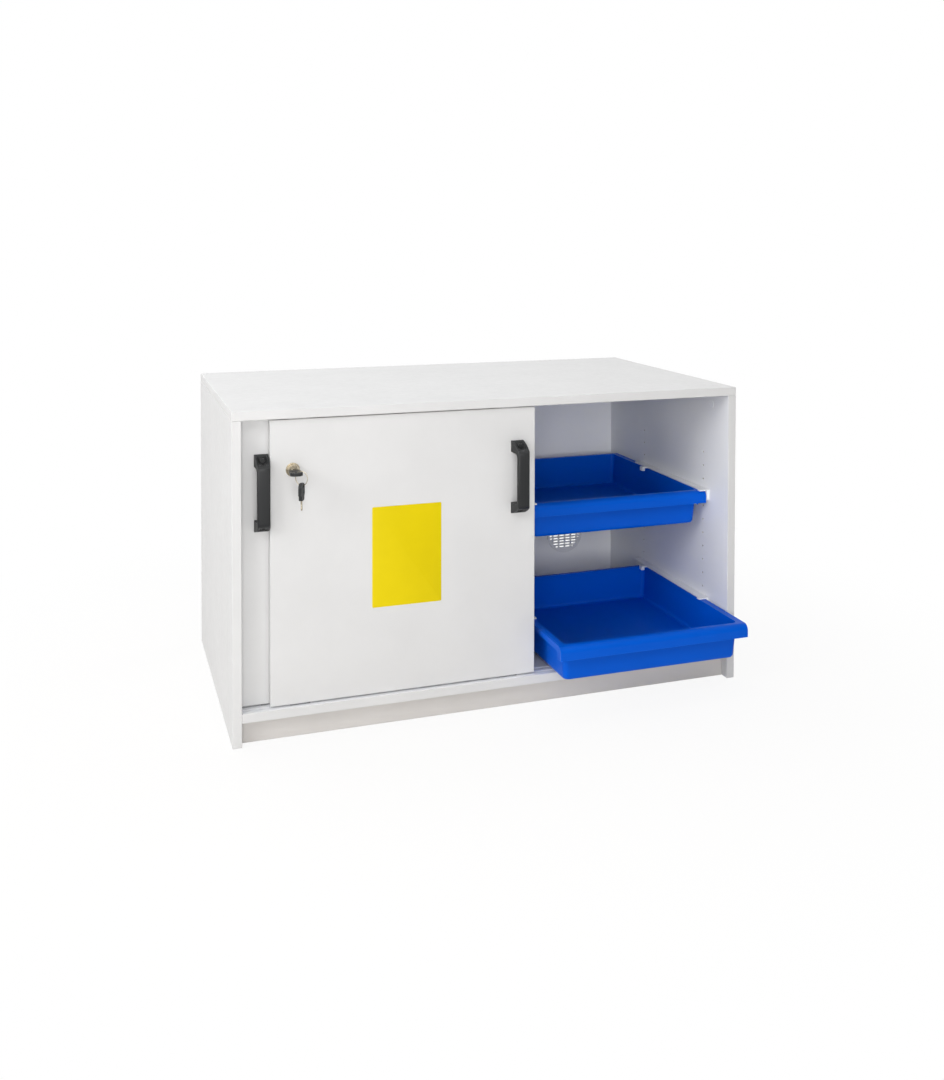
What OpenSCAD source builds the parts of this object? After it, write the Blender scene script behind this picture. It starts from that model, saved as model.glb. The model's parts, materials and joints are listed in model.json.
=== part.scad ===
// Reagent cabinet with two sliding doors and four pull-out trays. Millimetres, +Z up.
// Origin: on the floor, at the middle of the carcass. +X is to the right, +Y to the back.
// The doors stand parked at the left and the lower right tray is pulled out to its stop.

/* [Carcass] */
// Outer width over the side panels
cab_w = 1130; // [1100:10:1400]
// Outer depth of the side panels
cab_d = 640; // [600:5:720]
// Outer height with the top panel
cab_h = 668; // [640:4:900]
// Thickness of the carcass boards
board = 19; // [16:1:22]
// Thickness of the back panel
back_t = 8; // [4:1:10]
// How far the back panel stands in from the rear edge
back_inset = 8; // [6:1:20]
// Depth of the groove that holds the back panel
back_groove = 6; // [4:1:8]
// Height of the plinth under the bottom panel
plinth_h = 48; // [40:1:100]
// How far the plinth stands back from the front edge
plinth_setback = 22; // [10:1:60]
// Eased edge of every board
ease = 1; // [0.5:0.25:1.5]

/* [Doors] */
// Thickness of a sliding door
door_t = 16; // [15:1:18]
// Front face of the front door, behind the front edges
door_setback = 10; // [6:1:20]
// Gap between the two doors
door_gap = 4; // [3:0.5:8]
// Gap above and below a door
door_play = 3; // [2:0.5:5]
// How far the closed doors overlap in the middle
door_overlap = 76; // [64:2:120]
// Gap between the rear door's edge and the side panel
door_edge_gap = 1; // [0.5:0.5:3]
// Gap between the rear door's handle and the front door's edge
door_park_gap = 1.2; // [0.6:0.2:3]
// Gap between the front door's edge and the flank of a pulled-out tray
door_tray_gap = 16; // [4:1:24]
// Width of a guide groove in the top panel
groove_w = 10; // [9:0.5:12]
// Depth of a guide groove in the top panel
groove_h = 9; // [7:0.5:11]
// Wall of the plastic liner in a guide groove
liner_t = 1.5; // [1:0.25:2]
// Thickness of the bottom track
track_t = 3; // [3:0.5:5]
// Width of a running groove in the bottom track
track_groove_w = 5; // [4:0.5:7]
// Depth of a running groove in the bottom track
track_groove_h = 2; // [1.5:0.25:2.5]

/* [Handles] */
// Overall height of a handle
handle_h = 156; // [130:2:220]
// Width of a foot at the door
handle_w = 28; // [24:1:34]
// Width of the grip
grip_w = 25.5; // [20:0.5:32]
// How far the handle stands out from the door
handle_out = 45; // [38:1:55]
// Thickness of the grip
grip_t = 10; // [8:0.5:13]
// Height of a foot
foot_h = 24; // [22:1:34]
// Radius of the outer bend
handle_bend = 12; // [8:1:16]
// Radius of the long curve from the door to the bend
handle_curve = 98; // [80:2:140]
// Handle's middle from the door's edge
handle_inset = 41; // [30:1:60]
// Handle's middle below the doors' top edge
handle_drop = 148; // [110:2:240]
// Screw pitch of a handle
screw_pitch = 136; // [106:2:190]

/* [Lock] */
// Lock's axis from the front door's left edge
lock_inset = 45; // [30:1:60]
// Lock's axis below the doors' top edge
lock_drop = 101; // [50:1:200]
// Radius of the sliding barrel
barrel_r = 11; // [9:0.5:12]
// Wall of the fixed sleeve round the barrel
sleeve_t = 2; // [1.5:0.25:3]
// How far the barrel stands out when it is not pushed in
barrel_out = 16; // [10:1:20]
// Radius of the turning plug
plug_r = 6.5; // [5:0.5:7.5]
// Length of a key's bow
bow_l = 34; // [26:1:38]
// Width of a key's bow
bow_w = 24; // [20:1:28]
// Thickness of a key's bow
bow_t = 7; // [5:0.5:8]
// Mean radius of the key ring
ring_r = 14; // [13:0.5:18]

/* [Trays] */
// Width over the rims
tray_w = 446; // [380:2:470]
// Depth over the rims
tray_d = 485; // [440:5:510]
// Height from the rim's top to the underside
tray_h = 80; // [60:2:100]
// Wall thickness
tray_t = 2.5; // [2:0.25:3.5]
// Width of a side rim
rim_side = 13; // [11:0.5:20]
// Width of the rear rim
rim_back = 8; // [6:0.5:16]
// Depth of the rolled front rim
rim_front = 18; // [14:1:26]
// Height of the rolled front rim
lip_h = 28; // [22:1:36]
// Radius of the front rim's roll
roll_r = 14; // [8:1:16]
// Height of the turned-down side rims
side_lip_h = 12; // [9:0.5:16]
// How far each wall leans in towards the floor of the tray
draft = 5; // [2:0.5:9]
// Gap between a tray and the panel beside it
tray_gap = 7; // [5:0.5:12]
// Space between the rear door and a closed tray
tray_behind_door = 40; // [20:2:60]
// How far a tray comes out before it meets the stop
tray_travel = 186; // [140:2:200]
// How far the lower right tray is out now
lower_tray_out = 186; // [0:2:200]

/* [Runners] */
// Runner's end behind its rear pin
runner_tail = 14; // [10:1:30]
// First pin behind the runner's front end
pin_front = 29.5; // [20:0.5:40]
// Distance between a runner's two pins
pin_pitch = 306.5; // [280:0.5:320]
// Rim's top above the pins
rim_above_pin = 9; // [8:0.5:11]
// Thickness of the runner's flanges
flange_t = 3; // [2.5:0.25:4]
// Diameter of the runner and shelf holes
hole_d = 5; // [4:0.5:6]
// Depth of the runner and shelf holes
hole_depth = 12; // [10:0.5:14]
// Pitch of the hole rows
hole_pitch = 32; // [25:1:40]
// Height of the lower runner's pins
lower_pin_z = 148.5; // [144:0.5:170]
// Hole rows between the two trays
rows_between = 8; // [6:1:9]
// Hole rows above the upper tray
rows_above = 3; // [1:1:4]

/* [Vent] */
// Outer radius of the round grille
vent_r = 51; // [40:1:60]
// Radius of the hole in the back panel
vent_hole_r = 46; // [36:1:50]
// Grille's middle from the right side panel's inner face
vent_from_side = 140; // [100:5:240]
// Height of the grille's middle
vent_z = 189; // [150:1:220]
// Length of a slot
slot_l = 13.5; // [8:0.5:15]
// Height of a slot
slot_h = 3.6; // [2.5:0.1:4.5]
// Distance between slots in a row
slot_pitch_x = 17.5; // [16:0.5:24]
// Distance between rows
slot_pitch_z = 7.6; // [6.5:0.1:10]

/* [Clearances] */
// Running clearance between flat sliding faces
slide_gap = 0.3; // [0.2:0.05:0.5]
// Radial clearance of a turning or sliding round fit
round_gap = 0.05; // [0.02:0.01:0.1]
// Radial clearance of a pin or screw in its board
pin_gap = 0.1; // [0.05:0.05:0.2]

/* [Hidden] */
$fn = 48;
eps = 0.01;

// Colours
melamine = [0.90, 0.90, 0.89];
inner_melamine = [0.82, 0.83, 0.85];
royal_blue = [0.02, 0.20, 0.72];
white_plastic = [0.93, 0.93, 0.94];
dark_plastic = [0.13, 0.14, 0.15];
nickel = [0.72, 0.70, 0.65];
zinc = [0.62, 0.63, 0.65];
beech = [0.78, 0.63, 0.44];

// Carcass planes
front_y = -cab_d / 2;
left_x = -cab_w / 2;
right_x = cab_w / 2;
in_left = left_x + board;
in_right = right_x - board;
in_w = in_right - in_left;
floor_z = plinth_h + board;
ceiling_z = cab_h - board;
back_y = cab_d / 2 - back_inset - back_t;
bay_w = tray_w + 2 * tray_gap;

// Door planes and sizes
front_door_y = front_y + door_setback;
rear_door_y = front_door_y + door_t + door_gap;
door_z = floor_z + door_play;
door_h = ceiling_z - door_play - door_z;
handle_z = door_z + door_h - handle_drop;
lock_z = door_z + door_h - lock_drop;
rear_door_x = in_left + door_edge_gap;
rear_handle_x = rear_door_x + handle_inset;
front_door_x = rear_handle_x + handle_w / 2 + door_park_gap;
front_door_right = in_right - tray_gap - tray_w - door_tray_gap;
front_door_w = front_door_right - front_door_x;
rear_door_w = in_w - front_door_w + door_overlap - 2 * door_edge_gap;
front_handle_x = front_door_right - handle_inset;
strike_x = in_right - door_edge_gap - front_door_w + lock_inset;
shoe_inset = 60;
shoe_l = 40;
shoe_w = door_t - 4;
track_margin = 2.5;
partition_y = rear_door_y + door_t + 6;
spigot_r = 4;
spigot_l = 12;

// Tray and runner places
tray_y = rear_door_y + door_t + tray_behind_door;
runner_y = tray_y - 2;
hole_front_y = runner_y + pin_front;
hole_rear_y = hole_front_y + pin_pitch;
runner_l = pin_front + pin_pitch + runner_tail;
upper_pin_z = lower_pin_z + rows_between * hole_pitch;
rows_below = 1;
hole_rows = rows_below + rows_between + rows_above + 1;
right_tray_x = in_right - bay_w / 2;
left_tray_x = in_left + bay_w / 2;
right_partition_x = in_right - bay_w - board;
left_partition_x = in_left + bay_w;
rim_t = 3;
rim_groove_in = 4;
rim_groove_w = 1.5;
rim_groove_h = 0.6;
corner_r = 12;
foot_r = 7;
foot_ease = 0.3;
seat_short = 4;
nub_l = 11;
nub_out = 5;
nose_r = 6;
lug_t = 3;
lug_in = 12;
lug_drop = 8;
web_t = tray_gap - 1;
runner_below = 15;
lower_out = min(lower_tray_out, tray_travel);
hook_l = 13;
hook_in = 16;
hook_drop = 6;
stop_gap = 1.2;

// Lock and key places
lock_x = front_door_x + lock_inset;
barrel_face_y = front_door_y - barrel_out;
rosette_r = barrel_r + sleeve_t + 1;
rosette_t = 2;
nut_t = 2.6;
bolt_r = 5;
bolt_back_y = front_door_y + door_t - 2;
strike_t = 2.5;
strike_play = 0.5;
strike_l = 10;
plug_l = 20;
plug_proud = 1;
key_gap = 2;
blade_w = 7;
blade_t = 2;
blade_in = 18;
spare_blade_l = 20;
bow_hole_r = 3.75;
bow_hole_edge = 6;
bow_rim = 4;
bow_recess_end = 12;
wire_r = 0.8;
ring_turn = -45;
spare_turn = 20;
bow_corner = 6;
ring_drop = 7;
bow_y = barrel_face_y - plug_proud - key_gap;
bow_hole_y = bow_y - bow_l + bow_hole_edge;
ring_side = (sqrt(pow(ring_r, 2) - pow(ring_drop + bow_t / 2, 2))
    + sqrt(pow(ring_r, 2) - pow(ring_drop - bow_t / 2, 2))) / 2;
ring_x = lock_x + ring_side * cos(ring_turn);
ring_y = bow_hole_y + ring_side * sin(ring_turn);
ring_z = lock_z - ring_drop;
// The spare key hangs turned on the wire, which then crosses its hole aslant
wire_rise = ring_r - sqrt(pow(ring_r, 2) - pow(bow_t / 2 / cos(spare_turn), 2));
wire_aside = bow_t / 2 * tan(spare_turn);
spare_hole_z = ring_z - ring_r + wire_rise
    - sqrt(pow(bow_hole_r - wire_r - slide_gap, 2) - pow(wire_aside, 2));

// Cam fittings and dowels in the corner joints
cam_r = 7.5;
cam_deep = 13;
cam_drop = 30;
cover_r = 8.5;
cover_t = 1.2;
bolt_d = 6;
bolt_in_top = 11;
dowel_r = 4;
dowel_half = 11;
cam_inset = 75;
cam_to_dowel = 32;
dowel_inset = cam_inset + cam_to_dowel;
joint_ys = [front_y + cam_inset, -front_y - cam_inset];
dowel_ys = [front_y + dowel_inset, -front_y - dowel_inset];

// Handle screws and caps
screw_r = 2;
screw_head_r = 4;
screw_head_t = 3;
screw_in_door = 13;
pocket_r = 5.5;
seat_y = 12;
cap_t = 4;
curve_start = 10;
recess_w = 20;
recess_in = 2.5;
recess_past_start = 4;
recess_past_end = 1;
rib_arc = 3.5;
rib_w = 1.8;
rib_pitch = 3.8;

// A rectangle with its corners cut at 45 degrees, from the origin
module eased_rect(a, b, c) {
    polygon([[c, 0], [a - c, 0], [a, c], [a, b - c], [a - c, b], [c, b], [0, b - c], [0, c]]);
}

// A board with all twelve edges eased, from the origin
module eased_board(size, c = ease) {
    intersection() {
        linear_extrude(size.z) eased_rect(size.x, size.y, c);
        translate([0, size.y, 0]) rotate([90, 0, 0]) linear_extrude(size.y) eased_rect(size.x, size.z, c);
        rotate([90, 0, 90]) linear_extrude(size.x) eased_rect(size.y, size.z, c);
    }
}

// A square-cornered board between two corners
module plain_board(low, high) {
    translate(low) cube(high - low);
}

// A rounded rectangle about the origin, of true arcs
module round_rect(a, b, r) {
    square([a, b - 2 * r], center = true);
    square([a - 2 * r, b], center = true);
    for (x = [-1, 1], y = [-1, 1])
        translate([x * (a / 2 - r), y * (b / 2 - r)]) circle(r);
}

// A slot with round ends, about the origin
module round_slot(l, h) {
    square([l - h, h], center = true);
    for (x = [-1, 1]) translate([x * (l - h) / 2, 0]) circle(h / 2);
}

// ---- Carcass ----

// The two columns of blind holes in the face at x. side is the way into the board
module hole_columns(x, side) {
    for (y = [hole_front_y, hole_rear_y], row = [0 : hole_rows - 1])
        translate([x - side * eps, y, lower_pin_z + (row - rows_below) * hole_pitch])
            rotate([0, side * 90, 0]) cylinder(d = hole_d, h = hole_depth + eps);
}

// Upright dowel and cam-bolt holes where a side panel meets the top panel
module corner_joint_holes(x) {
    for (y = joint_ys)
        translate([x, y, ceiling_z - cam_drop])
            cylinder(r = bolt_d / 2 + pin_gap, h = cam_drop + bolt_in_top + 0.3);
    for (y = dowel_ys)
        translate([x, y, ceiling_z - dowel_half - 0.5])
            cylinder(r = dowel_r + pin_gap, h = 2 * dowel_half + 1);
}

module top_panel() {
    color(melamine)
    difference() {
        translate([left_x, front_y, ceiling_z]) eased_board([cab_w, cab_d, board]);
        for (y = [front_door_y, rear_door_y])
            translate([in_left, y + door_t / 2 - groove_w / 2, ceiling_z - eps])
                cube([in_w, groove_w, groove_h + eps]);
        plain_board([in_left - back_groove, back_y, ceiling_z - eps],
                    [in_right + back_groove, back_y + back_t, ceiling_z + back_groove]);
        corner_joint_holes(left_x + board / 2);
        corner_joint_holes(right_x - board / 2);
    }
}

// side is 1 for the right panel and -1 for the left one
module side_panel(side) {
    inner = side * (cab_w / 2 - board);
    color(melamine)
    difference() {
        translate([side > 0 ? inner : left_x, front_y, 0]) eased_board([board, cab_d, ceiling_z]);
        hole_columns(inner, side);
        translate([inner - (side > 0 ? eps : back_groove), back_y, floor_z])
            cube([back_groove + eps, back_t, ceiling_z - floor_z + eps]);
        for (y = joint_ys)
            translate([inner - side * eps, y, ceiling_z - cam_drop])
                rotate([0, side * 90, 0]) cylinder(r = cam_r + pin_gap, h = cam_deep + pin_gap + eps);
        corner_joint_holes(side * (cab_w / 2 - board / 2));
    }
}

module bottom_panel() {
    track_front = front_door_y - track_margin;
    track_back = rear_door_y + door_t + track_margin;
    color(melamine)
    difference() {
        translate([in_left, front_y, plinth_h]) eased_board([in_w, back_y + back_t - front_y, board]);
        plain_board([in_left - eps, track_front, floor_z - track_t], [in_right + eps, track_back, floor_z + eps]);
        plain_board([in_left - eps, back_y, plinth_h + board / 2], [in_right + eps, back_y + back_t + eps, floor_z + eps]);
    }
}

module back_panel() {
    fit = 0.2;
    color(inner_melamine)
    difference() {
        plain_board([in_left - back_groove + fit, back_y + fit, floor_z + fit],
                    [in_right + back_groove - fit, back_y + back_t - fit, ceiling_z + back_groove - fit]);
        translate([in_right - vent_from_side, back_y - 1, vent_z])
            rotate([-90, 0, 0]) cylinder(r = vent_hole_r, h = back_t + 2);
    }
}

module plinth_front() {
    color(melamine)
        translate([in_left, front_y + plinth_setback, 0]) eased_board([in_w, board, plinth_h]);
}

module plinth_back() {
    color(melamine)
        translate([in_left, back_y - board, 0]) eased_board([in_w, board, plinth_h]);
}

module plinth_rib() {
    rib_front = front_y + plinth_setback + board;
    color(melamine)
        translate([-board / 2, rib_front, 0]) eased_board([board, back_y - board - rib_front, plinth_h]);
}

// A partition whose holes open to the bay on its side: 1 faces right, -1 faces left
module partition(x, side) {
    face = side > 0 ? x + board : x;
    color(inner_melamine)
    difference() {
        translate([x, partition_y, floor_z]) eased_board([board, back_y - partition_y, ceiling_z - floor_z]);
        hole_columns(face, -side);
    }
}

// ---- Door tracks ----

// Two U-shaped liners pressed into the top panel's grooves
module top_track() {
    fit = 0.1;
    color(white_plastic)
    for (y = [front_door_y, rear_door_y])
        translate([in_left + fit, y + door_t / 2, ceiling_z])
            rotate([90, 0, 90]) linear_extrude(in_w - 2 * fit)
                difference() {
                    translate([fit - groove_w / 2, 0]) square([groove_w - 2 * fit, groove_h - fit]);
                    translate([liner_t - groove_w / 2, -eps]) square([groove_w - 2 * liner_t, groove_h - liner_t + eps]);
                }
}

module bottom_track() {
    fit = 0.1;
    front = front_door_y - track_margin + fit;
    back = rear_door_y + door_t + track_margin - fit;
    color(white_plastic)
    difference() {
        plain_board([in_left + fit, front, floor_z - track_t], [in_right - fit, back, floor_z]);
        for (y = [front_door_y, rear_door_y])
            translate([in_left, y + door_t / 2 - track_groove_w / 2, floor_z - track_groove_h])
                cube([in_w, track_groove_w, track_groove_h + eps]);
    }
}

// ---- Vent ----

// Half-width of the slotted field at height z
function field_half(z) = sqrt(max(0, pow(vent_hole_r - 1.2, 2) - pow(abs(z) + slot_h / 2, 2)));

module vent_slots() {
    rows = floor((vent_hole_r - 3) / slot_pitch_z);
    for (row = [0 : rows - 1], up = [-1, 1], column = [0, 1, 2], side = [-1, 1]) {
        z = up * (row + 0.5) * slot_pitch_z;
        x0 = column * slot_pitch_x + (slot_pitch_x - slot_l) / 2;
        x1 = min(x0 + slot_l, field_half(z));
        if (x1 - x0 > slot_h + 2)
            translate([side * (x0 + x1) / 2, z]) round_slot(x1 - x0, slot_h);
    }
}

module vent_grille() {
    flange_t = 2.5;
    wall = 1.6;
    reach = back_t + 4;
    color(white_plastic)
    translate([in_right - vent_from_side, back_y + 0.2, vent_z])
    rotate([90, 0, 0]) {
        difference() {
            cylinder(r = vent_r, h = flange_t);
            translate([0, 0, -1]) linear_extrude(flange_t + 2) vent_slots();
        }
        difference() {
            translate([0, 0, -reach]) cylinder(r = vent_hole_r - 0.3, h = reach);
            translate([0, 0, -reach - 1]) cylinder(r = vent_hole_r - 0.3 - wall, h = reach + 1);
        }
    }
}

// ---- Corner fittings ----

module at_cams() {
    for (side = [-1, 1], y = joint_ys)
        translate([side * (cab_w / 2 - board), y, ceiling_z - cam_drop]) rotate([0, side * 90, 0]) children();
}

module cam_fittings() {
    color(zinc) at_cams()
        difference() {
            cylinder(r = cam_r, h = cam_deep);
            translate([0, 0, -1]) linear_extrude(4) {
                square([8, 1.6], center = true);
                square([1.6, 8], center = true);
            }
        }
}

module cam_covers() {
    color(white_plastic) at_cams()
        translate([0, 0, -cover_t]) cylinder(r = cover_r, h = cover_t);
}

module cam_bolts() {
    color(zinc)
    for (side = [-1, 1], y = joint_ys)
        translate([side * (cab_w / 2 - board / 2), y, ceiling_z - cam_drop + cam_r + 0.3])
            cylinder(d = bolt_d, h = cam_drop - cam_r - 0.3 + bolt_in_top);
}

module dowels() {
    color(beech)
    for (side = [-1, 1], y = dowel_ys)
        translate([side * (cab_w / 2 - board / 2), y, ceiling_z - dowel_half]) cylinder(r = dowel_r, h = 2 * dowel_half);
}

// ---- Runners ----

// A runner on a panel face at x = 0, which reaches to -x. Pins' height is z = 0, front end is y = 0
module runner_shape() {
    top_z = rim_above_pin + 0.5;
    low_z = rim_above_pin - side_lip_h - slide_gap;
    flange_w = tray_gap + rim_side;
    seat_w = flange_w - seat_short;
    low_front = tray_y - runner_y + rim_front + lug_t + slide_gap;
    hook_back = tray_y - tray_travel + tray_d - rim_back - tray_t - stop_gap - runner_y;
    // web with a rounded lower nose
    difference() {
        translate([-web_t, 0, -runner_below]) cube([web_t, runner_l, runner_below + top_z + flange_t]);
        translate([-web_t - 1, 0, -runner_below]) rotate([90, 0, 90]) linear_extrude(web_t + 2)
            difference() {
                translate([-1, -1]) square(nose_r + 1);
                translate([nose_r, nose_r]) circle(nose_r);
            }
    }
    // flange over the rim, with a nub at its front end
    translate([-flange_w, 0, top_z]) cube([flange_w, runner_l, flange_t]);
    translate([-flange_w - nub_out, 0, top_z]) cube([nub_out + 1, nub_l, flange_t]);
    // seat under the rim
    translate([-seat_w, low_front, low_z - flange_t]) cube([seat_w, runner_l - low_front, flange_t]);
    // hook that the tray's rear wall meets when the tray is right out
    translate([-flange_w - hook_in, hook_back - hook_l, top_z]) cube([hook_in + 1, hook_l, flange_t]);
    translate([-flange_w - hook_in, hook_back, rim_above_pin - hook_drop]) linear_extrude(hook_drop + 1)
        polygon([[0, -hook_l], [hook_in / 2, -hook_l], [hook_in / 2, -hook_in / 4], [hook_in / 4, 0], [0, 0]]);
    // pins
    for (y = [pin_front, pin_front + pin_pitch])
        translate([-1, y, 0]) rotate([0, 90, 0]) cylinder(r = hole_d / 2 - pin_gap, h = hole_depth - 1);
}

// side is 1 where the panel is to the right of the tray and -1 where it is to the left
module runner(x, side, z) {
    color(white_plastic)
    translate([x, runner_y, z])
        if (side > 0) runner_shape();
        else mirror([1, 0, 0]) runner_shape();
}

// ---- Trays ----

// One layer of the tray's tapered body. inset is measured from the wall's outer face at the rim
module tray_layer(inset, z, r) {
    w = tray_w - 2 * rim_side - 2 * inset;
    d = tray_d - rim_front - rim_back - 2 * inset;
    translate([0, rim_front + inset + d / 2, z]) linear_extrude(eps) round_rect(w, d, r);
}

// The tapered body with a rounded foot. The cavity is the same form, one wall smaller
module tray_form(wall) {
    h = tray_h - wall;
    r = corner_r - wall;
    hull() {
        tray_layer(wall, wall > 0 ? 1 : -eps, r);
        tray_layer(wall + draft, foot_r - h, r);
        tray_layer(wall + draft + foot_r * foot_ease, foot_r * foot_ease - h, r);
        tray_layer(wall + draft + foot_r, -h, r);
    }
}

// Outline of the front rim, deep from front to back: y to the right, z upwards
module front_rim_outline(deep) {
    polygon(concat([for (a = [0 : 7.5 : 90]) [roll_r - roll_r * cos(a), roll_r * sin(a) - roll_r]],
                   [[deep, 0], [deep, -lip_h], [0, -lip_h]]));
}

// Wall of the rolled front rim, open below and at the back
module front_rim_section() {
    r = roll_r - tray_t;
    difference() {
        front_rim_outline(rim_front + tray_t);
        polygon(concat([for (a = [0 : 7.5 : 90]) [roll_r - r * cos(a), r * sin(a) - roll_r]],
                       [[rim_front + tray_t + 1, -tray_t], [rim_front + tray_t + 1, -lip_h - 1], [tray_t, -lip_h - 1]]));
    }
}

module tray_rim() {
    // flat rims at the sides and the back
    translate([-tray_w / 2, roll_r, -rim_t]) cube([tray_w, tray_d - roll_r, rim_t]);
    // turned-down edges
    for (x = [-tray_w / 2, tray_w / 2 - tray_t])
        translate([x, rim_front - eps, -side_lip_h]) cube([tray_t, tray_d - rim_front, side_lip_h]);
    translate([-tray_w / 2, tray_d - tray_t, -side_lip_h]) cube([tray_w, tray_t, side_lip_h]);
    // rolled front rim with closed ends
    translate([-tray_w / 2, 0, 0]) rotate([90, 0, 90]) linear_extrude(tray_w) front_rim_section();
    for (x = [-tray_w / 2, tray_w / 2 - tray_t])
        translate([x, 0, 0]) rotate([90, 0, 90]) linear_extrude(tray_t) front_rim_outline(rim_front);
    // lugs under the front corners, which meet the runners when the tray is shut
    for (side = [-1, 1])
        translate([side * (tray_w / 2), rim_front + lug_t, 0])
            mirror([side > 0 ? 1 : 0, 0, 0])
                rotate([90, 0, 0]) linear_extrude(lug_t)
                    polygon([[0, -1], [0, -side_lip_h], [lug_in - 2, -lip_h], [lug_in, -lip_h - lug_drop],
                             [lug_in + 10, -lip_h], [rim_side + 1, -side_lip_h - 4], [rim_side + 1, -1]]);
}

module tray(x, out, z) {
    color(royal_blue)
    translate([x, tray_y - out, z + rim_above_pin])
        difference() {
            union() {
                tray_rim();
                tray_form(0);
            }
            tray_form(tray_t);
            // fine groove along each side rim
            for (side = [-1, 1])
                translate([side * (tray_w / 2 - rim_groove_in) - rim_groove_w / 2, rim_front, -rim_groove_h])
                    cube([rim_groove_w, tray_d - rim_front - rim_back, rim_groove_h + 1]);
        }
}

// ---- Doors ----

// A door panel with the holes for its shoes, guides and handle screws
module door_panel(x, y, w, handle_x) {
    color(melamine)
    difference() {
        translate([x, y, door_z]) eased_board([w, door_t, door_h]);
        for (sx = [x + shoe_inset, x + w - shoe_inset]) {
            translate([sx, y + door_t / 2, door_z - eps]) cylinder(r = spigot_r + pin_gap, h = spigot_l + 0.3);
            translate([sx, y + door_t / 2, door_z + door_h - spigot_l - 0.3]) cylinder(r = spigot_r + pin_gap, h = spigot_l + 1);
        }
        for (up = [-1, 1])
            translate([handle_x, y - 1, handle_z + up * screw_pitch / 2])
                rotate([-90, 0, 0]) cylinder(r = screw_r + pin_gap, h = screw_in_door + 1.3);
    }
}

module front_door_panel() {
    color(melamine)
    difference() {
        door_panel(front_door_x, front_door_y, front_door_w, front_handle_x);
        translate([lock_x, front_door_y - 1, lock_z])
            rotate([-90, 0, 0]) cylinder(r = barrel_r + sleeve_t + pin_gap, h = door_t + 2);
    }
}

module rear_door_panel() {
    color(melamine)
    difference() {
        door_panel(rear_door_x, rear_door_y, rear_door_w, rear_handle_x);
        translate([strike_x, rear_door_y - 1, lock_z])
            rotate([-90, 0, 0]) cylinder(r = bolt_r + strike_t + pin_gap, h = strike_l + 1.3);
    }
}

// Bush in the rear door that takes the lock's bolt when both doors are closed
module lock_strike() {
    color(zinc)
    translate([strike_x, rear_door_y, lock_z]) rotate([-90, 0, 0])
        difference() {
            cylinder(r = bolt_r + strike_t, h = strike_l);
            translate([0, 0, -1]) cylinder(r = bolt_r + strike_play, h = strike_l - 1);
        }
}

// Gliders under a door, which run in the bottom track's groove
module door_shoes(x, y, w) {
    tongue_w = track_groove_w - 1;
    pad_z = floor_z + slide_gap;
    tongue_z = floor_z - track_groove_h + slide_gap;
    color(white_plastic)
    for (sx = [x + shoe_inset, x + w - shoe_inset])
        translate([sx, y + door_t / 2, 0]) {
            translate([-shoe_l / 2, -shoe_w / 2, pad_z]) cube([shoe_l, shoe_w, door_z - pad_z]);
            translate([-shoe_l / 2, -tongue_w / 2, tongue_z]) cube([shoe_l, tongue_w, door_z - tongue_z]);
            translate([0, 0, door_z - eps]) cylinder(r = spigot_r, h = spigot_l);
        }
}

// Guides on a door's top edge, which run in the lined groove above
module door_guides(x, y, w) {
    tongue_w = groove_w - 2 * liner_t - 1;
    top_z = ceiling_z + groove_h - liner_t - 1;
    color(white_plastic)
    for (sx = [x + shoe_inset, x + w - shoe_inset])
        translate([sx, y + door_t / 2, door_z + door_h]) {
            translate([-shoe_l / 2, -tongue_w / 2, 0]) cube([shoe_l, tongue_w, top_z - door_z - door_h]);
            translate([0, 0, -spigot_l]) cylinder(r = spigot_r, h = spigot_l + eps);
        }
}

// ---- Handles ----

// The long curve of a handle's end: its middle, and the angle from upright at which the bend takes over
curve_mid = [-handle_curve * sin(curve_start), handle_h / 2 - handle_curve * cos(curve_start)];
curve_end = asin((handle_out - handle_bend - curve_mid.x) / (handle_curve - handle_bend));
bend_mid = curve_mid + (handle_curve - handle_bend) * [sin(curve_end), cos(curve_end)];
curve_step = (curve_end - curve_start) / 8;
bend_step = (90 - curve_end) / 8;

// A point on an arc about m, at an angle from upright towards the grip
function arc_point(m, r, a) = m + r * [sin(a), cos(a)];

// Outer edge of a handle's upper half, from the door to the grip
handle_edge = concat(
    [for (i = [0 : 8]) arc_point(curve_mid, handle_curve, curve_start + i * curve_step)],
    [for (i = [1 : 8]) arc_point(bend_mid, handle_bend, curve_end + i * bend_step)]);

// Side view of a handle: depth from the door to the right, height upwards, about mid-height
module handle_side() {
    inner_r = 9;
    gap = handle_out - grip_t;
    gap_h = handle_h - 2 * foot_h;
    difference() {
        polygon(concat(handle_edge, [for (i = [len(handle_edge) - 1 : -1 : 0]) [handle_edge[i].x, -handle_edge[i].y]]));
        translate([-1, -gap_h / 2]) square([gap + 1 - inner_r, gap_h]);
        translate([-1, inner_r - gap_h / 2]) square([gap + 1, gap_h - 2 * inner_r]);
        for (up = [-1, 1]) translate([gap - inner_r, up * (gap_h / 2 - inner_r)]) circle(inner_r);
    }
}

// Side view of a recess in the upper end's curve, between two angles from upright
module curve_band(from, to) {
    step = (to - from) / 4;
    polygon(concat([for (i = [0 : 4]) arc_point(curve_mid, handle_curve - recess_in, from + i * step)],
                   [arc_point(curve_mid, handle_curve + 6, to), arc_point(curve_mid, handle_curve + 6, from)]));
}

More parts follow.
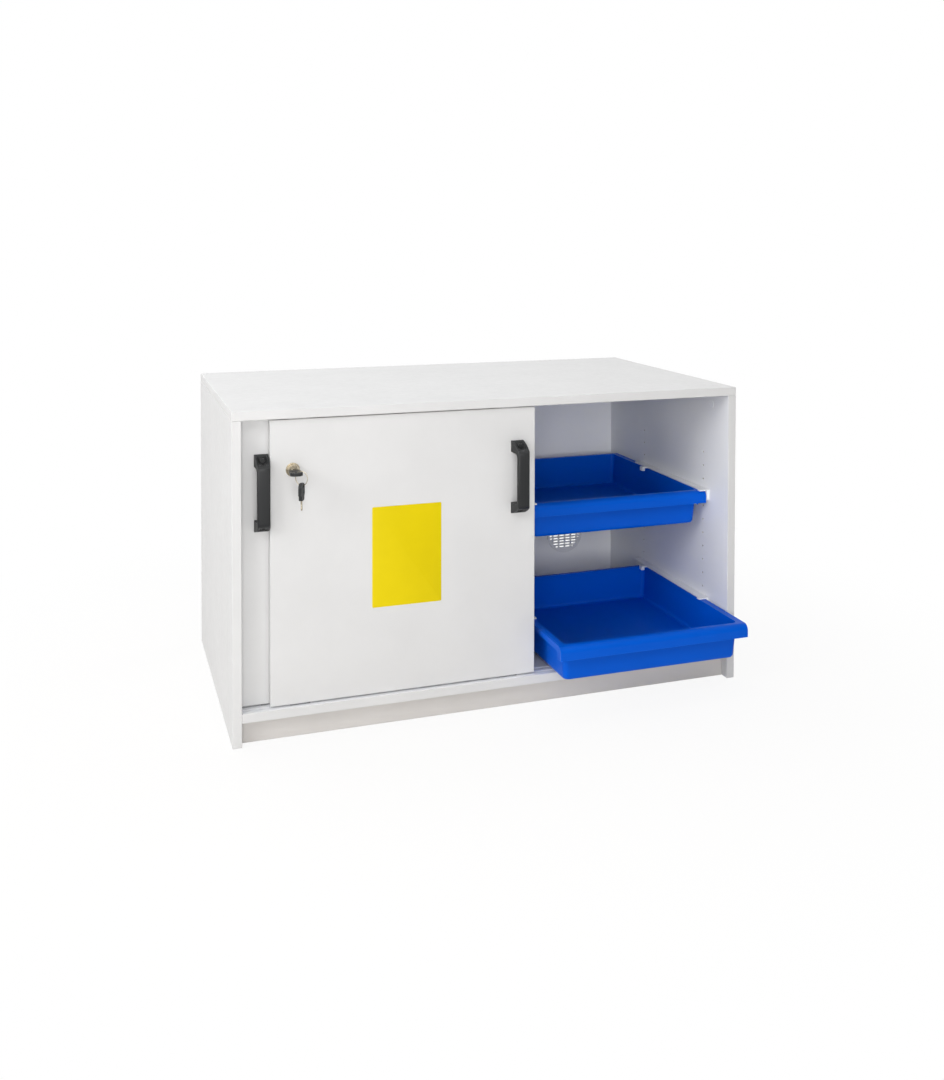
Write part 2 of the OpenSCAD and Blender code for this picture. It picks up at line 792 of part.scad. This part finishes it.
// The recess itself, with upright ribs at the bend, for the upper end
module end_recess() {
    from = curve_start + recess_past_start;
    to = curve_end - recess_past_end;
    rib_from = curve_end - rib_arc;
    rotate([90, 0, 90]) mirror([1, 0, 0]) difference() {
        translate([0, 0, -recess_w / 2]) linear_extrude(recess_w) curve_band(from, to);
        for (i = [-2 : 2])
            translate([0, 0, i * rib_pitch - rib_w / 2]) linear_extrude(rib_w)
                polygon([for (edge = [[-recess_in - 1, rib_from], [0, rib_from], [0, curve_end], [-recess_in - 1, curve_end]])
                    arc_point(curve_mid, handle_curve + edge[0], edge[1])]);
    }
}

// Plan of a handle: it narrows from the feet to a grip with rounded edges
module handle_plan() {
    r = 4;
    polygon(concat(
        [[-handle_w / 2, 0], [handle_w / 2, 0]],
        [for (a = [0 : 15 : 90]) [grip_w / 2 - r + r * cos(a), r - handle_out - r * sin(a)]],
        [for (a = [90 : -15 : 0]) [r - grip_w / 2 - r * cos(a), r - handle_out - r * sin(a)]]));
}

// A handle on a door face at y, with a screw pocket in the recess of each end
module handle(x, y) {
    color(dark_plastic)
    translate([x, y, handle_z])
    difference() {
        intersection() {
            translate([-handle_w / 2, 0, 0]) rotate([90, 0, 90]) mirror([1, 0, 0])
                linear_extrude(handle_w) handle_side();
            translate([0, 0, -handle_h / 2]) linear_extrude(handle_h) handle_plan();
        }
        for (up = [-1, 1]) {
            translate([0, 0, up * screw_pitch / 2]) rotate([90, 0, 0]) {
                translate([0, 0, seat_y]) cylinder(r = pocket_r, h = handle_out);
                translate([0, 0, -1]) cylinder(r = screw_r + pin_gap, h = seat_y + 2);
            }
            mirror([0, 0, up > 0 ? 0 : 1]) end_recess();
        }
    }
}

module handle_screws(x, y) {
    color(zinc)
    for (up = [-1, 1])
        translate([x, y - seat_y, handle_z + up * screw_pitch / 2]) rotate([-90, 0, 0]) {
            translate([0, 0, -screw_head_t]) cylinder(r = screw_head_r, h = screw_head_t);
            cylinder(r = screw_r, h = seat_y + screw_in_door);
        }
}

// Caps that close the screw pockets
module handle_caps(x, y) {
    color(dark_plastic)
    for (up = [-1, 1])
        translate([x, y - seat_y - screw_head_t, handle_z + up * screw_pitch / 2])
            rotate([90, 0, 0]) cylinder(r = pocket_r - pin_gap, h = cap_t);
}

// ---- Lock and keys ----

module lock_sleeve() {
    color(nickel)
    translate([lock_x, front_door_y, lock_z]) rotate([-90, 0, 0])
        difference() {
            union() {
                translate([0, 0, -rosette_t]) cylinder(r = rosette_r, h = rosette_t);
                translate([0, 0, -eps]) cylinder(r = barrel_r + sleeve_t, h = door_t + nut_t);
            }
            translate([0, 0, -rosette_t - 1]) cylinder(r = barrel_r + round_gap, h = door_t + nut_t + rosette_t + 2);
        }
}

module lock_nut() {
    color(zinc)
    translate([lock_x, front_door_y + door_t, lock_z]) rotate([-90, 0, 0])
        difference() {
            cylinder(r = barrel_r + sleeve_t + 4, h = nut_t, $fn = 6);
            translate([0, 0, -1]) cylinder(r = barrel_r + sleeve_t + pin_gap, h = nut_t + 2);
        }
}

// Barrel that is pushed in to lock, with the bolt at its rear end
module lock_barrel() {
    body_l = barrel_out + door_t - 4;
    color(nickel)
    translate([lock_x, barrel_face_y, lock_z]) rotate([-90, 0, 0])
        difference() {
            union() {
                cylinder(r = barrel_r, h = body_l);
                cylinder(r = bolt_r, h = bolt_back_y - barrel_face_y);
            }
            translate([0, 0, -1]) cylinder(r = plug_r + round_gap, h = plug_l + 1);
        }
}

module lock_plug() {
    color(nickel)
    translate([lock_x, barrel_face_y - plug_proud, lock_z]) rotate([-90, 0, 0])
        difference() {
            cylinder(r = plug_r, h = plug_l);
            translate([-blade_w / 2 - pin_gap, -blade_t / 2 - pin_gap, -1])
                cube([blade_w + 2 * pin_gap, blade_t + 2 * pin_gap, blade_in + 1]);
        }
}

// Flat bow of a key: the shoulder is at y = 0 and the ring hole near y = -bow_l
module bow_shape() {
    difference() {
        translate([0, 0, -bow_t / 2]) linear_extrude(bow_t) difference() {
            union() {
                translate([-bow_w / 2, -bow_l]) eased_rect(bow_w, bow_l - bow_corner, bow_corner);
                translate([0, -6]) round_rect(bow_w - 2 * bow_rim, 12, 3);
            }
            translate([0, bow_hole_edge - bow_l]) circle(bow_hole_r);
        }
        for (up = [-1, 1])
            translate([0, -bow_l / 2 - 1, up * (bow_t / 2 + 0.2)]) linear_extrude(2, center = true)
                round_rect(bow_w - 2 * bow_rim, bow_l - 2 * bow_recess_end, bow_rim);
    }
}

// Blade of a key with a stepped edge: it starts inside the bow and ends at y = l
module blade_shape(l) {
    translate([0, 0, -blade_t / 2]) linear_extrude(blade_t)
        polygon([[-blade_w / 2, 0.05], [blade_w / 2, 0.05], [blade_w / 2, l * 0.25], [blade_w / 2 - 1.2, l * 0.35],
                 [blade_w / 2 - 0.4, l * 0.5], [blade_w / 2 - 1.6, l * 0.65], [blade_w / 2 - 0.6, l * 0.8],
                 [blade_w / 2 - 2.4, l], [-blade_w / 2 + 1, l], [-blade_w / 2, l - 1]]);
}

module key_blade() {
    color(nickel) translate([lock_x, bow_y, lock_z]) blade_shape(blade_in + key_gap);
}

module key_bow() {
    color(dark_plastic) translate([lock_x, bow_y, lock_z]) bow_shape();
}

module key_ring() {
    color(nickel)
    translate([ring_x, ring_y, ring_z]) rotate([90, 0, ring_turn])
        rotate_extrude() translate([ring_r, 0]) circle(wire_r, $fn = 24);
}

// The spare key hangs from the ring's lowest point, with its flat across the ring
module hang_spare() {
    translate([ring_x, ring_y, spare_hole_z]) rotate([0, 0, ring_turn + spare_turn]) rotate([0, 90, 0]) rotate([0, 0, -90])
        translate([0, bow_l - bow_hole_edge, 0]) children();
}

module spare_key_blade() {
    color(nickel) hang_spare() blade_shape(spare_blade_l);
}

module spare_key_bow() {
    color(dark_plastic) hang_spare() bow_shape();
}

top_panel();
side_panel(-1);  // left_side_panel
side_panel(1);  // right_side_panel
bottom_panel();
back_panel();
plinth_front();
plinth_back();
plinth_rib();
partition(left_partition_x, -1);  // left_partition
partition(right_partition_x, 1);  // right_partition
top_track();
bottom_track();
vent_grille();
cam_fittings();
cam_bolts();
cam_covers();
dowels();
runner(in_right, 1, upper_pin_z);  // runner_right_upper_outer
runner(in_right - bay_w, -1, upper_pin_z);  // runner_right_upper_inner
runner(in_right, 1, lower_pin_z);  // runner_right_lower_outer
runner(in_right - bay_w, -1, lower_pin_z);  // runner_right_lower_inner
runner(in_left, -1, upper_pin_z);  // runner_left_upper_outer
runner(in_left + bay_w, 1, upper_pin_z);  // runner_left_upper_inner
runner(in_left, -1, lower_pin_z);  // runner_left_lower_outer
runner(in_left + bay_w, 1, lower_pin_z);  // runner_left_lower_inner
tray(right_tray_x, 0, upper_pin_z);  // tray_right_upper
tray(right_tray_x, lower_out, lower_pin_z);  // tray_right_lower
tray(left_tray_x, 0, upper_pin_z);  // tray_left_upper
tray(left_tray_x, 0, lower_pin_z);  // tray_left_lower
front_door_panel();
door_shoes(front_door_x, front_door_y, front_door_w);  // front_door_shoes
door_guides(front_door_x, front_door_y, front_door_w);  // front_door_guides
handle(front_handle_x, front_door_y);  // front_handle
handle_screws(front_handle_x, front_door_y);  // front_handle_screws
handle_caps(front_handle_x, front_door_y);  // front_handle_caps
rear_door_panel();
door_shoes(rear_door_x, rear_door_y, rear_door_w);  // rear_door_shoes
door_guides(rear_door_x, rear_door_y, rear_door_w);  // rear_door_guides
handle(rear_handle_x, rear_door_y);  // rear_handle
handle_screws(rear_handle_x, rear_door_y);  // rear_handle_screws
handle_caps(rear_handle_x, rear_door_y);  // rear_handle_caps
lock_sleeve();
lock_nut();
lock_barrel();
lock_plug();
lock_strike();
key_blade();
key_bow();
key_ring();
spare_key_blade();
spare_key_bow();
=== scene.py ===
"""Looks of the reagent drawer cabinet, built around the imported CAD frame. Metres, +Z up."""
import json
import math

import bmesh
import bpy
from mathutils import Matrix, Vector


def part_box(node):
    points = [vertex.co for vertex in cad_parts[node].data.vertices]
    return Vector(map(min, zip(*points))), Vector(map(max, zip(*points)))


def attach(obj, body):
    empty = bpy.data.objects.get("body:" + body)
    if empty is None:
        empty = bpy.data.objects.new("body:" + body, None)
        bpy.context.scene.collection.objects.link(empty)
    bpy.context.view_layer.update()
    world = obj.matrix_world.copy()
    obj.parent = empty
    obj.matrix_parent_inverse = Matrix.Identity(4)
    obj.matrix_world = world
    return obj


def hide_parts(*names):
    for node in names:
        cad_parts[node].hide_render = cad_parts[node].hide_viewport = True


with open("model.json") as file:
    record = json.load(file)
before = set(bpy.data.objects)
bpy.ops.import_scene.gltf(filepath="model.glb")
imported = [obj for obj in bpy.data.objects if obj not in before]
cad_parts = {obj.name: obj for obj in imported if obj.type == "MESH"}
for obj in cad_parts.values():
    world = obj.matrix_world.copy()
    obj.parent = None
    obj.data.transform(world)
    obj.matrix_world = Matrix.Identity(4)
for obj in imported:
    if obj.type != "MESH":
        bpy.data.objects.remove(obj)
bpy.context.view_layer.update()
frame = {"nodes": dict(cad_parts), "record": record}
NODES = frame["nodes"]

# Image size of the photograph, in pixels
PHOTO_W, PHOTO_H = 944, 1080


# ---------------------------------------------------------------- camera
def make_camera():
    """The photograph's camera, fitted to the object's edges. Angles in radians."""
    focal_px, centre = 1161.63, (493.87, 258.15)
    yaw, pitch, roll = 0.3387829, 0.0262468, -0.0023482
    place = Vector((-0.8337, -2.62567, 1.03003))
    sensor_mm = 36
    forward = Vector((math.sin(yaw) * math.cos(pitch), math.cos(yaw) * math.cos(pitch),
                      -math.sin(pitch)))
    level = Vector((math.cos(yaw), -math.sin(yaw), 0))
    down = forward.cross(level)
    right = math.cos(roll) * level + math.sin(roll) * down
    up = -(-math.sin(roll) * level + math.cos(roll) * down)
    data = bpy.data.cameras.new("photo_camera")
    data.sensor_fit = "VERTICAL"
    data.sensor_height = sensor_mm
    data.lens = focal_px / PHOTO_H * sensor_mm
    data.shift_x = (PHOTO_W / 2 - centre[0]) / PHOTO_H
    data.shift_y = (centre[1] - PHOTO_H / 2) / PHOTO_H
    data.clip_end = 60
    camera = bpy.data.objects.new("photo_camera", data)
    matrix = Matrix((right, up, -forward)).transposed().to_4x4()
    matrix.translation = place
    camera.matrix_world = matrix
    bpy.context.scene.collection.objects.link(camera)
    bpy.context.scene.camera = camera


make_camera()


# ---------------------------------------------------------------- materials
# The colour sockets of Blender's mix node, which share their names with other types
MIX_A, MIX_B, MIX_RESULT = 6, 7, 2


def srgb(r, g, b):
    """A colour in 0-255 screen values, as the linear colour that Blender takes."""
    def channel(c):
        c /= 255
        return c / 12.92 if c <= 0.04045 else ((c + 0.055) / 1.055) ** 2.4
    return (channel(r), channel(g), channel(b), 1)


class Shader:
    """A principled material with a few helpers for procedural detail."""

    def __init__(self, name, roughness=0.5, **sockets):
        self.mat = bpy.data.materials.new(name)
        self.mat.use_nodes = True
        self.tree = self.mat.node_tree
        self.bsdf = self.tree.nodes["Principled BSDF"]
        self.bsdf.inputs["Roughness"].default_value = roughness
        for key, value in sockets.items():
            self.bsdf.inputs[key.replace("_", " ")].default_value = value
        self.coords = self.node("ShaderNodeTexCoord").outputs["Object"]
        self.normal = None

    def node(self, kind, **settings):
        n = self.tree.nodes.new(kind)
        for key, value in settings.items():
            setattr(n, key, value)
        return n

    def link(self, a, b):
        self.tree.links.new(a, b)

    def scaled(self, scale):
        mapping = self.node("ShaderNodeMapping")
        factors = scale if isinstance(scale, tuple) else (scale,) * 3
        mapping.inputs["Scale"].default_value = factors
        self.link(self.coords, mapping.inputs["Vector"])
        return mapping.outputs["Vector"]

    def noise(self, scale, detail=3.0):
        n = self.node("ShaderNodeTexNoise")
        n.inputs["Scale"].default_value = 1.0
        n.inputs["Detail"].default_value = detail
        n.inputs["Roughness"].default_value = 0.5
        self.link(self.scaled(scale), n.inputs["Vector"])
        return n.outputs["Fac"]

    def spread(self, value, low, high, out_low, out_high):
        """The value from low..high mapped to out_low..out_high, and held there outside."""
        n = self.node("ShaderNodeMapRange", clamp=True)
        limits = {"From Min": low, "From Max": high, "To Min": out_low, "To Max": out_high}
        for key, limit in limits.items():
            n.inputs[key].default_value = limit
        self.link(value, n.inputs["Value"])
        return n.outputs["Result"]

    def cloud(self, scale, detail):
        """Soft clouds that use the whole range 0 to 1."""
        return self.spread(self.noise(scale, detail), 0.35, 0.65, 0, 1)

    def mixed(self, a, b, value):
        """A colour between a and b, each a socket or a colour, left unlinked."""
        n = self.node("ShaderNodeMix", data_type="RGBA")
        for socket, given in ((n.inputs[MIX_A], a), (n.inputs[MIX_B], b)):
            if isinstance(given, tuple):
                socket.default_value = given
            else:
                self.link(given, socket)
        self.link(value, n.inputs[0])
        return n.outputs[MIX_RESULT]

    def paint(self, tone):
        self.link(tone, self.bsdf.inputs["Base Color"])

    def vector(self, operation, a, b=None):
        """A vector maths node; a and b are sockets or vectors."""
        n = self.node("ShaderNodeVectorMath", operation=operation)
        for socket, given in zip(n.inputs, (a, b)):
            if isinstance(given, (tuple, Vector)):
                socket.default_value = given
            elif given is not None:
                self.link(given, socket)
        return n.outputs["Value" if operation == "DOT_PRODUCT" else "Vector"]

    def depth_in_box(self, low, high):
        """Distance of a point inside a box to the box's nearest face."""
        low, high = Vector(low), Vector(high)
        off_middle = self.vector("SUBTRACT", self.coords, (low + high) / 2)
        axes = self.node("ShaderNodeSeparateXYZ")
        room = self.vector("SUBTRACT", (high - low) / 2, self.vector("ABSOLUTE", off_middle))
        self.link(room, axes.inputs[0])
        depth = axes.outputs[0]
        for other in axes.outputs[1:3]:
            least = self.node("ShaderNodeMath", operation="MINIMUM")
            self.link(depth, least.inputs[0])
            self.link(other, least.inputs[1])
            depth = least.outputs[0]
        return depth

    def edges(self, radius):
        """1 on sharp edges, 0 on flat faces."""
        bevel = self.node("ShaderNodeBevel", samples=6)
        bevel.inputs["Radius"].default_value = radius
        flat = self.node("ShaderNodeNewGeometry").outputs["Normal"]
        facing = self.vector("DOT_PRODUCT", bevel.outputs["Normal"], flat)
        return self.spread(facing, 0.8, 0.995, 1, 0)

    def rough(self, value, low, high):
        self.link(self.spread(value, 0.3, 0.7, low, high), self.bsdf.inputs["Roughness"])

    def rounded(self, radius):
        """Shades the edges as if rounded; a radius of 0 leaves them sharp."""
        if not radius:
            return
        n = self.node("ShaderNodeBevel", samples=4)
        n.inputs["Radius"].default_value = radius
        self.normal = n.outputs["Normal"]
        self.link(self.normal, self.bsdf.inputs["Normal"])

    def bump(self, value, distance, strength=0.5):
        n = self.node("ShaderNodeBump")
        n.inputs["Distance"].default_value = distance
        n.inputs["Strength"].default_value = strength
        self.link(value, n.inputs["Height"])
        if self.normal is not None:
            self.link(self.normal, n.inputs["Normal"])
        self.normal = n.outputs["Normal"]
        self.link(self.normal, self.bsdf.inputs["Normal"])


# Depth below a board's faces where the facing ends and the chipboard begins
FACING_END, CHIPS_START = 0.0012, 0.0016


def inner_space():
    """The room inside the carcass, a little bigger so that it takes in the boards' inner faces."""
    slack = 0.0005
    left_side_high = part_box("left_side_panel")[1]
    right_side_low, right_side_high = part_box("right_side_panel")
    bottom_high, top_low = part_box("bottom_panel")[1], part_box("top_panel")[0]
    return ((left_side_high[0] - slack, right_side_low[1] + 2 * slack, bottom_high[2] - slack),
            (right_side_low[0] + slack, right_side_high[1], top_low[2] + slack))


def melamine(name, node, tone, inner_lit_tone=None):
    """Melamine facing with a fine pearl texture. Cuts deeper than the facing show the chipboard. If
    given, the faces inside the carcass take a brighter tone, as painted light.
    """
    m = Shader(name, roughness=0.42, IOR=1.48)
    cloud = m.cloud(9, 4)
    facing = m.mixed(*tone, cloud)
    # Painted light: the inner faces get a brighter tone than the outside.
    if inner_lit_tone:
        inside = m.spread(m.depth_in_box(*inner_space()), 0, 0.0001, 0, 1)
        facing = m.mixed(facing, m.mixed(*inner_lit_tone, cloud), inside)
    chips = m.mixed(srgb(112, 88, 62), srgb(168, 138, 100), m.noise((700, 700, 250), 3))
    cut = m.spread(m.depth_in_box(*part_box(node)), FACING_END, CHIPS_START, 0, 1)
    m.paint(m.mixed(facing, chips, cut))
    m.rough(m.noise(60, 2), 0.38, 0.5)
    m.rounded(0.0008)
    m.bump(m.noise(1400, 2), 0.00006, 0.35)
    return m.mat


def moulded(name, dark, light, low, high, grain=2200, depth=0.00005, radius=0.0012, edge_highlight=None,
            **sockets):
    """Moulded plastic with a fine grain, slight flow marks and, if given, a painted highlight along
    the edges.
    """
    edge_highlight_width = 0.0012
    m = Shader(name, roughness=low, IOR=1.5, **sockets)
    tone = m.mixed(dark, light, m.cloud(6, 3))
    if edge_highlight:
        # Painted highlight: a paler colour on the sharp edges, where light would catch them.
        tone = m.mixed(tone, edge_highlight, m.edges(max(radius, edge_highlight_width)))
    m.paint(tone)
    m.rough(m.noise(25, 4), low, high)
    m.rounded(radius)
    m.bump(m.noise(grain, 2), depth, 0.4)
    return m.mat


def metal(name, dark, light, low, high):
    """Plated metal with fine drawn lines."""
    lines = (900, 900, 60)
    m = Shader(name, roughness=low, Metallic=1.0)
    m.paint(m.mixed(dark, light, m.cloud(120, 3)))
    m.rough(m.noise(lines, 2), low, high)
    m.rounded(0.0004)
    m.bump(m.noise(lines, 2), 0.00003, 0.3)
    return m.mat


def timber(name):
    """Beech with the grain along Z."""
    m = Shader(name, roughness=0.6)
    m.paint(m.mixed(srgb(176, 138, 92), srgb(206, 172, 124), m.noise((400, 400, 30), 4)))
    m.bump(m.noise((900, 900, 60), 3), 0.0001)
    return m.mat


# By material slot of the record
MATERIALS = {
    "blue_plastic": moulded("blue_plastic", srgb(0, 84, 198), srgb(0, 86, 201), 0.29, 0.32,
                            # Painted highlight: pale blue along the trays' edges.
                            grain=900, depth=0.00002, radius=0, edge_highlight=srgb(40, 122, 232),
                            Specular_IOR_Level=0.08),
    "white_plastic": moulded("white_plastic", srgb(231, 232, 235), srgb(236, 237, 239), 0.38, 0.5),
    "dark_plastic": moulded("dark_plastic", srgb(20, 21, 22), srgb(26, 27, 28), 0.38, 0.52,
                            # Painted highlight: pale grey along the edges of the handles and other
                            # dark parts.
                            grain=1600, depth=0.00009, edge_highlight=srgb(92, 94, 96),
                            Specular_IOR_Level=0.32),
    "nickel": metal("nickel", srgb(142, 132, 114), srgb(186, 177, 158), 0.2, 0.38),
    "zinc": metal("zinc", srgb(150, 152, 156), srgb(184, 186, 190), 0.35, 0.5),
    "beech": timber("beech"),
}
# Painted shade: the glide shoes are white plastic, given a mid grey so that they read as the shadow
# gap under the doors.
GLIDER_PAINTED_SHADE = moulded("glider_painted_shade", srgb(120, 121, 124), srgb(130, 131, 134), 0.4, 0.5)

# Tones of the boards, by the node's material slot or its own name; the inside, plinth and back
# panel tones hold painted light and shade
BOARD_TONES_AND_PAINTED_LIGHT = {
    "melamine_outside": (srgb(208, 208, 208), srgb(211, 211, 211)),
    # Painted light: the inside tone is brighter and bluer than the outside, for the dim interior
    # and the blue trays' bounce.
    "melamine_inside": (srgb(234, 235, 241), srgb(237, 238, 243)),
    # Painted shade: the plinth is darker and warmer, for the shade under the bottom panel's
    # overhang.
    "plinth_front": (srgb(203, 200, 197), srgb(207, 204, 201)),
    # Painted light: the back panel is the brightest tone, for the dim back of the interior.
    "back_panel": (srgb(247, 248, 251), srgb(249, 250, 252)),
}
# Boards whose inner faces get a brighter tone of their own, painted light for the dim interior
INNER_LIT_BOARDS = ("left_side_panel", "right_side_panel", "bottom_panel")
# Painted light: brighter than the outside tone.
CARCASS_INNER_LIT = (srgb(232, 233, 235), srgb(235, 236, 237))


def node_material(part):
    name, slot = part["node"], part["material_slot"]
    if slot.startswith("melamine"):
        inner_lit_tone = CARCASS_INNER_LIT if name in INNER_LIT_BOARDS else None
        tone = BOARD_TONES_AND_PAINTED_LIGHT.get(name, BOARD_TONES_AND_PAINTED_LIGHT[slot])
        return melamine("melamine_" + name, name, tone, inner_lit_tone)
    # The glide shoes take the grey painted-shade material.
    if name.endswith("_shoes"):
        return GLIDER_PAINTED_SHADE
    return MATERIALS[slot]


def dress_nodes():
    for part in frame["record"]["subparts"]:
        node = NODES[part["node"]]
        node.data.materials.clear()
        node.data.materials.append(node_material(part))
        for polygon in node.data.polygons:
            polygon.material_index = 0


dress_nodes()


# ---------------------------------------------------------------- pieces
def add_mesh(name, bm, material, body):
    """A piece made from bm, smooth but for edges over 30 degrees, riding on the body."""
    mesh = bpy.data.meshes.new(name)
    bm.to_mesh(mesh)
    bm.free()
    piece = bpy.data.objects.new(name, mesh)
    bpy.context.scene.collection.objects.link(piece)
    mesh.materials.append(material)
    for polygon in mesh.polygons:
        polygon.use_smooth = True
    mesh.set_sharp_from_angle(angle=math.radians(30))
    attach(piece, body)
    return piece


def rounded_outline(w, h, r, steps=6):
    """Corner-rounded rectangle about the origin, anticlockwise."""
    points = []
    for cx, cz, start in ((1, 1, 0), (-1, 1, 90), (-1, -1, 180), (1, -1, 270)):
        for i in range(steps + 1):
            a = math.radians(start + 90 * i / steps)
            points.append((cx * (w / 2 - r) + r * math.cos(a), cz * (h / 2 - r) + r * math.sin(a)))
    return points


def yellow_card():
    """Plain yellow adhesive card, on the front door."""
    middle_x, middle_z = -0.207, 0.352
    width, height, corner = 0.148, 0.208, 0.003
    # Inset and distance from the door's face, of the outlines from back to front
    layers = ((0, 0.00002), (0, 0.0003), (0.0003, 0.0004))
    m = Shader("yellow_vinyl", roughness=0.45, Specular_IOR_Level=0.12)
    m.paint(m.mixed(srgb(214, 192, 1), srgb(220, 198, 3), m.noise(30, 3)))
    m.bump(m.noise(300, 3), 0.00008)
    door_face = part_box("front_door_panel")[0][1]
    bm = bmesh.new()
    rings = []
    for inset, off_door in layers:
        outline = rounded_outline(width - 2 * inset, height - 2 * inset, corner)
        rings.append([bm.verts.new((middle_x + px, door_face - off_door, middle_z + pz))
                      for px, pz in outline])
    for a, b in zip(rings, rings[1:]):
        n = len(a)
        for i in range(n):
            bm.faces.new((a[i], a[(i + 1) % n], b[(i + 1) % n], b[i]))
    bm.faces.new(rings[-1])
    bm.faces.new(list(reversed(rings[0])))
    bmesh.ops.recalc_face_normals(bm, faces=bm.faces)
    add_mesh("yellow_card", bm, m.mat, "front_door")


yellow_card()


def eased_handle(name, body):
    """The handle with its long side edges rounded, in place of the sharp-edged node."""
    ease = 0.003
    on_side_within, off_door_least = 0.00002, 0.0005
    low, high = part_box(name)
    bm = bmesh.new()
    bm.from_mesh(NODES[name].data)
    bmesh.ops.remove_doubles(bm, verts=bm.verts, dist=1e-6)
    bmesh.ops.dissolve_limit(bm, angle_limit=math.radians(0.5), verts=bm.verts, edges=bm.edges)

    def on_side_rim(edge):
        """True for the side faces' outer edges, away from the door's face."""
        on_side = any(all(abs(v.co.x - side) < on_side_within for v in edge.verts)
                      for side in (low[0], high[0]))
        off_door = all(v.co.y < high[1] - off_door_least for v in edge.verts)
        return on_side and off_door and edge.is_manifold

    bmesh.ops.bevel(bm, geom=[e for e in bm.edges if on_side_rim(e)], offset=ease, segments=4,
                    profile=0.5, affect="EDGES", clamp_overlap=False)
    piece = add_mesh(name + "_eased", bm, MATERIALS["dark_plastic"], body)
    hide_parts(name)


eased_handle("front_handle", "front_door")
eased_handle("rear_handle", "rear_door")


# ---------------------------------------------------------------- floor, lights, background
def wire(tree, source, target):
    tree.links.new(source, target)


def math_node(tree, operation, a, b):
    """A maths node of two sockets."""
    node = tree.nodes.new("ShaderNodeMath")
    node.operation = operation
    wire(tree, a, node.inputs[0])
    wire(tree, b, node.inputs[1])
    return node.outputs[0]


def background_rays(tree):
    """1 for the rays that see the white background: camera, glossy and transmission rays."""
    path = tree.nodes.new("ShaderNodeLightPath").outputs
    seen = math_node(tree, "MAXIMUM", path["Is Camera Ray"], path["Is Glossy Ray"])
    return math_node(tree, "MAXIMUM", seen, path["Is Transmission Ray"])


def make_floor():
    """Pale floor that keeps the shadow near the object and turns to plain white further out."""
    fade_start, fade_end = 0.6, 1.5
    white_near, white_far = 0.9, 1.0
    bm = bmesh.new()
    bmesh.ops.create_grid(bm, x_segments=2, y_segments=2, size=14)
    mesh = bpy.data.meshes.new("floor")
    bm.to_mesh(mesh)
    bm.free()
    floor = bpy.data.objects.new("floor", mesh)
    floor.location.z = -0.0005
    bpy.context.scene.collection.objects.link(floor)
    mat = bpy.data.materials.new("floor_white")
    mat.use_nodes = True
    tree = mat.node_tree
    tree.nodes.clear()
    distance = tree.nodes.new("ShaderNodeVectorMath")
    distance.operation = "LENGTH"
    wire(tree, tree.nodes.new("ShaderNodeTexCoord").outputs["Object"], distance.inputs[0])
    fade = tree.nodes.new("ShaderNodeMapRange")
    fade.interpolation_type = "SMOOTHSTEP"
    limits = {"From Min": fade_start, "From Max": fade_end, "To Min": white_near,
              "To Max": white_far}
    for key, value in limits.items():
        fade.inputs[key].default_value = value
    wire(tree, distance.outputs["Value"], fade.inputs["Value"])
    mix = tree.nodes.new("ShaderNodeMixShader")
    white = math_node(tree, "MULTIPLY", background_rays(tree), fade.outputs["Result"])
    wire(tree, white, mix.inputs[0])
    diffuse = tree.nodes.new("ShaderNodeBsdfDiffuse")
    diffuse.inputs["Color"].default_value = (0.84, 0.815, 0.79, 1)
    wire(tree, diffuse.outputs[0], mix.inputs[1])
    wire(tree, tree.nodes.new("ShaderNodeEmission").outputs[0], mix.inputs[2])
    out = tree.nodes.new("ShaderNodeOutputMaterial")
    wire(tree, mix.outputs[0], out.inputs[0])
    mesh.materials.append(mat)


def make_world():
    """Pure white for the background rays, and a weak even light for all others."""
    fill_light = 0.03
    world = bpy.data.worlds.new("studio")
    bpy.context.scene.world = world
    world.use_nodes = True
    tree = world.node_tree
    level = tree.nodes.new("ShaderNodeMapRange")
    level.inputs["To Min"].default_value = fill_light
    level.inputs["To Max"].default_value = 1.0
    wire(tree, background_rays(tree), level.inputs["Value"])
    back = tree.nodes["Background"]
    wire(tree, level.outputs["Result"], back.inputs["Strength"])
    back.inputs["Color"].default_value = (1, 1, 1, 1)


def make_light(name, place, target, size, power):
    """Rectangular lamp at place, turned to target. Power in watts."""
    data = bpy.data.lights.new(name, "AREA")
    data.shape = "RECTANGLE"
    data.size, data.size_y = size
    data.energy = power
    light = bpy.data.objects.new(name, data)
    light.location = place
    light.rotation_euler = (Vector(target) - Vector(place)).to_track_quat("-Z", "Y").to_euler()
    bpy.context.scene.collection.objects.link(light)


make_floor()
make_world()
make_light("left", (-3.4, -1.6, 2.0), (0, 0, 0.35), (2.4, 2.2), 84)
make_light("overhead", (0, 0.2, 3.2), (0, 0, 0.6), (3.0, 2.4), 40)
make_light("front", (-0.7, -3.3, 0.9), (0.2, 0, 0.35), (1.4, 1.2), 38)
make_light("front_left", (-2.0, -3.6, 1.5), (0, 0, 0.35), (2.4, 2.0), 8)
make_light("high_front", (0.4, -2.3, 2.5), (0.2, -0.2, 0.3), (2.0, 1.2), 11)
make_light("high_left", (-1.4, -2.3, 2.3), (0.2, -0.2, 0.3), (1.6, 1.2), 11)
make_light("rear_left", (-1.6, 1.6, 2.6), (0, 0, 0.5), (2.4, 2.0), 36)
make_light("right", (3.2, 0.9, 1.3), (0.5, 0, 0.35), (2.0, 2.0), 45)

bpy.context.scene.view_settings.view_transform = "Standard"
